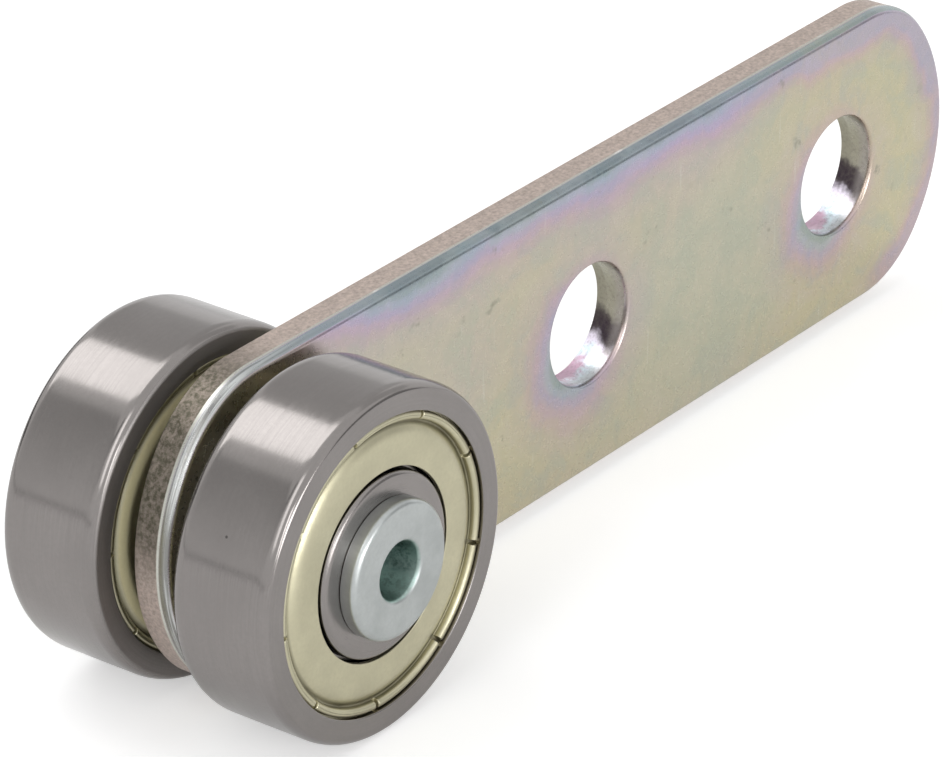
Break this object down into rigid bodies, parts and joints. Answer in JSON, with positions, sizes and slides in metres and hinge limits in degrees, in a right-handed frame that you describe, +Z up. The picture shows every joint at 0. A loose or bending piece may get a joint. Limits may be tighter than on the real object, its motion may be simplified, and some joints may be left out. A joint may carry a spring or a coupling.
{
  "type": "roller wheel",
  "caption": "Twin ball-bearing roller wheel: shielded bearings riveted either side of a flat zinc-plated steel strap with fixing holes.",
  "frame": {"origin": "where the centre line of the axle crosses the middle plane of the strap", "axes": "+X along the strap to the fixing holes, +Y along the axle away from the plain rivet head, +Z up"},
  "size_m": [0.0823, 0.0222, 0.022],
  "materials": {
    "zinc_strap": "yellow passivated zinc plate, satin",
    "zinc_rivet": "clear passivated zinc plate, satin",
    "washer_steel": "plain turned steel",
    "ring_steel": "ground bearing steel",
    "shield_steel": "pressed steel sheet, satin",
    "cage_steel": "pressed steel ribbon",
    "ball_steel": "polished"
  },
  "bodies": {
    "strap_and_axle": {"strap": "zinc_strap", "axle_rivet": "zinc_rivet", "front_spacer": "washer_steel", "rear_spacer": "washer_steel", "front_inner_ring": "ring_steel", "rear_inner_ring": "ring_steel"},
    "front_wheel": {"front_outer_ring": "ring_steel", "front_outboard_shield": "shield_steel", "front_inboard_shield": "shield_steel"},
    "front_cage": {"front_outboard_cage_half": "cage_steel", "front_inboard_cage_half": "cage_steel", "front_cage_rivets": "cage_steel"},
    "front_ball_1": {"front_ball_1": "ball_steel"},
    "front_ball_2": {"front_ball_2": "ball_steel"},
    "front_ball_3": {"front_ball_3": "ball_steel"},
    "front_ball_4": {"front_ball_4": "ball_steel"},
    "front_ball_5": {"front_ball_5": "ball_steel"},
    "front_ball_6": {"front_ball_6": "ball_steel"},
    "front_ball_7": {"front_ball_7": "ball_steel"},
    "rear_wheel": {"rear_outer_ring": "ring_steel", "rear_outboard_shield": "shield_steel", "rear_inboard_shield": "shield_steel"},
    "rear_cage": {"rear_outboard_cage_half": "cage_steel", "rear_inboard_cage_half": "cage_steel", "rear_cage_rivets": "cage_steel"},
    "rear_ball_1": {"rear_ball_1": "ball_steel"},
    "rear_ball_2": {"rear_ball_2": "ball_steel"},
    "rear_ball_3": {"rear_ball_3": "ball_steel"},
    "rear_ball_4": {"rear_ball_4": "ball_steel"},
    "rear_ball_5": {"rear_ball_5": "ball_steel"},
    "rear_ball_6": {"rear_ball_6": "ball_steel"},
    "rear_ball_7": {"rear_ball_7": "ball_steel"}
  },
  "joints": [
    {"name": "front_wheel_spin", "type": "hinge", "parent": "strap_and_axle", "child": "front_wheel", "pos_m": [0, -0.00675, 0], "axis": [0, 1, 0], "continuous": true},
    {"name": "front_cage_orbit", "type": "hinge", "parent": "strap_and_axle", "child": "front_cage", "pos_m": [0, -0.00675, 0], "axis": [0, 1, 0], "continuous": true},
    {"name": "front_ball_1_spin", "type": "hinge", "parent": "front_cage", "child": "front_ball_1", "pos_m": [0, -0.00675, 0.00725], "axis": [0, 1, 0], "continuous": true},
    {"name": "front_ball_2_spin", "type": "hinge", "parent": "front_cage", "child": "front_ball_2", "pos_m": [-0.00567, -0.00675, 0.00452], "axis": [0, 1, 0], "continuous": true},
    {"name": "front_ball_3_spin", "type": "hinge", "parent": "front_cage", "child": "front_ball_3", "pos_m": [-0.00707, -0.00675, -0.00161], "axis": [0, 1, 0], "continuous": true},
    {"name": "front_ball_4_spin", "type": "hinge", "parent": "front_cage", "child": "front_ball_4", "pos_m": [-0.00315, -0.00675, -0.00653], "axis": [0, 1, 0], "continuous": true},
    {"name": "front_ball_5_spin", "type": "hinge", "parent": "front_cage", "child": "front_ball_5", "pos_m": [0.00315, -0.00675, -0.00653], "axis": [0, 1, 0], "continuous": true},
    {"name": "front_ball_6_spin", "type": "hinge", "parent": "front_cage", "child": "front_ball_6", "pos_m": [0.00707, -0.00675, -0.00161], "axis": [0, 1, 0], "continuous": true},
    {"name": "front_ball_7_spin", "type": "hinge", "parent": "front_cage", "child": "front_ball_7", "pos_m": [0.00567, -0.00675, 0.00452], "axis": [0, 1, 0], "continuous": true},
    {"name": "rear_wheel_spin", "type": "hinge", "parent": "strap_and_axle", "child": "rear_wheel", "pos_m": [0, 0.00605, 0], "axis": [0, 1, 0], "continuous": true},
    {"name": "rear_cage_orbit", "type": "hinge", "parent": "strap_and_axle", "child": "rear_cage", "pos_m": [0, 0.00605, 0], "axis": [0, 1, 0], "continuous": true},
    {"name": "rear_ball_1_spin", "type": "hinge", "parent": "rear_cage", "child": "rear_ball_1", "pos_m": [0, 0.00605, 0.00725], "axis": [0, 1, 0], "continuous": true},
    {"name": "rear_ball_2_spin", "type": "hinge", "parent": "rear_cage", "child": "rear_ball_2", "pos_m": [-0.00567, 0.00605, 0.00452], "axis": [0, 1, 0], "continuous": true},
    {"name": "rear_ball_3_spin", "type": "hinge", "parent": "rear_cage", "child": "rear_ball_3", "pos_m": [-0.00707, 0.00605, -0.00161], "axis": [0, 1, 0], "continuous": true},
    {"name": "rear_ball_4_spin", "type": "hinge", "parent": "rear_cage", "child": "rear_ball_4", "pos_m": [-0.00315, 0.00605, -0.00653], "axis": [0, 1, 0], "continuous": true},
    {"name": "rear_ball_5_spin", "type": "hinge", "parent": "rear_cage", "child": "rear_ball_5", "pos_m": [0.00315, 0.00605, -0.00653], "axis": [0, 1, 0], "continuous": true},
    {"name": "rear_ball_6_spin", "type": "hinge", "parent": "rear_cage", "child": "rear_ball_6", "pos_m": [0.00707, 0.00605, -0.00161], "axis": [0, 1, 0], "continuous": true},
    {"name": "rear_ball_7_spin", "type": "hinge", "parent": "rear_cage", "child": "rear_ball_7", "pos_m": [0.00567, 0.00605, 0.00452], "axis": [0, 1, 0], "continuous": true}
  ],
  "couplings": [
    {"joint": "front_cage_orbit", "follows": "front_wheel_spin", "ratio": 0.63686},
    {"joint": "front_ball_1_spin", "follows": "front_wheel_spin", "ratio": 1.6898},
    {"joint": "front_ball_2_spin", "follows": "front_wheel_spin", "ratio": 1.6898},
    {"joint": "front_ball_3_spin", "follows": "front_wheel_spin", "ratio": 1.6898},
    {"joint": "front_ball_4_spin", "follows": "front_wheel_spin", "ratio": 1.6898},
    {"joint": "front_ball_5_spin", "follows": "front_wheel_spin", "ratio": 1.6898},
    {"joint": "front_ball_6_spin", "follows": "front_wheel_spin", "ratio": 1.6898},
    {"joint": "front_ball_7_spin", "follows": "front_wheel_spin", "ratio": 1.6898},
    {"joint": "rear_cage_orbit", "follows": "rear_wheel_spin", "ratio": 0.63686},
    {"joint": "rear_ball_1_spin", "follows": "rear_wheel_spin", "ratio": 1.6898},
    {"joint": "rear_ball_2_spin", "follows": "rear_wheel_spin", "ratio": 1.6898},
    {"joint": "rear_ball_3_spin", "follows": "rear_wheel_spin", "ratio": 1.6898},
    {"joint": "rear_ball_4_spin", "follows": "rear_wheel_spin", "ratio": 1.6898},
    {"joint": "rear_ball_5_spin", "follows": "rear_wheel_spin", "ratio": 1.6898},
    {"joint": "rear_ball_6_spin", "follows": "rear_wheel_spin", "ratio": 1.6898},
    {"joint": "rear_ball_7_spin", "follows": "rear_wheel_spin", "ratio": 1.6898}
  ]
}
